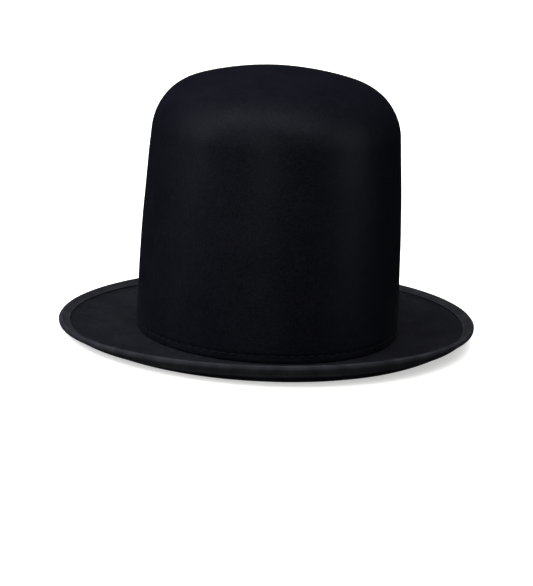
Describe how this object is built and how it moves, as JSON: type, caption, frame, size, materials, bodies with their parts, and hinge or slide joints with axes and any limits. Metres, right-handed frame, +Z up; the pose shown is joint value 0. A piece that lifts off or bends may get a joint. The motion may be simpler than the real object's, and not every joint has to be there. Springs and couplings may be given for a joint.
{
  "type": "top hat",
  "caption": "Tall round-topped black felt hat with a curled, ribbon-bound oval brim, a leather sweatband and a satin lining.",
  "frame": {"origin": "middle of the brim's outline on the surface that the hat stands on", "axes": "+Z up through the crown, -Y towards the front of the hat, +X to the right when it is seen from the front"},
  "size_m": [0.2726, 0.3083, 0.1743],
  "materials": {
    "crown_felt": "soft matte felt",
    "brim_felt": "pressed felt",
    "binding_ribbon": "ribbed grosgrain",
    "spring_wire": "drawn wire",
    "ferrule_metal": "crimped sleeve",
    "black_thread": "spun thread",
    "sweatband_leather": "smooth calf",
    "reed_plastic": "translucent rod",
    "tape_cloth": "woven tape",
    "band_thread": "spun thread",
    "bow_ribbon": "satin ribbon",
    "label_cloth": "blank woven label",
    "lining_satin": "satin",
    "piping_cord": "satin covered cord"
  },
  "bodies": {
    "root": {"crown_felt": "crown_felt", "brim_felt": "brim_felt", "brim_binding": "binding_ribbon", "brim_wire": "spring_wire", "brim_wire_ferrule": "ferrule_metal", "binding_stitches": "black_thread", "crown_seam_stitches": "black_thread", "sweatband": "sweatband_leather", "sweatband_reed": "reed_plastic", "reed_tape": "tape_cloth", "sweatband_stitches": "band_thread", "sweatband_back_seam": "band_thread", "sweatband_bow": "bow_ribbon", "size_label": "label_cloth", "lining_side": "lining_satin", "lining_tip": "lining_satin", "lining_piping": "piping_cord"}
  },
  "joints": []
}
